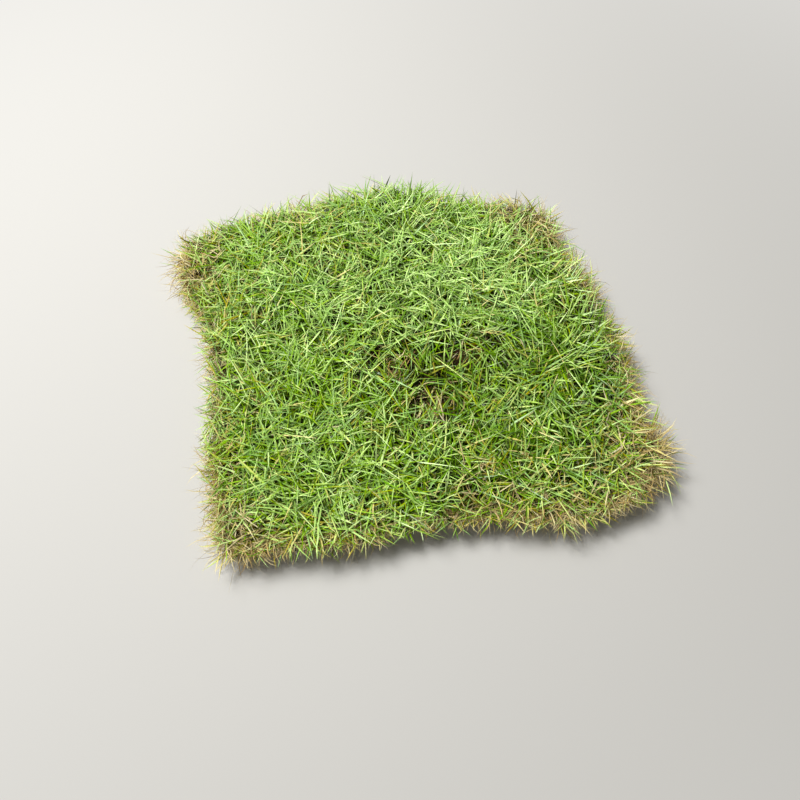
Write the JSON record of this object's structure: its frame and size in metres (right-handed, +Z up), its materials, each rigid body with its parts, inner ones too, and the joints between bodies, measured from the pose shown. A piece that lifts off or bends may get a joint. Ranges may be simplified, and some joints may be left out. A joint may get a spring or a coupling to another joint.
{
  "type": "turf slab",
  "caption": "Roughly square, hand-cut slab of turf: shaggy grass growing from a thin, flat-bottomed mat of soil and roots.",
  "frame": {"origin": "centre of the slab's bounding box, on the flat underside of the soil mat", "axes": "+X along the slab's longer side, +Y from the near cut to the far cut, +Z up through the grass"},
  "size_m": [0.552, 0.4892, 0.0603],
  "materials": {
    "soil": "crumbly dark reddish-brown soil held together by pale roots",
    "grass": "fine-bladed fresh green turf grass with straw-coloured dead blades"
  },
  "bodies": {
    "root": {"soil_mat": "soil", "grass_sward": "grass"}
  },
  "joints": []
}
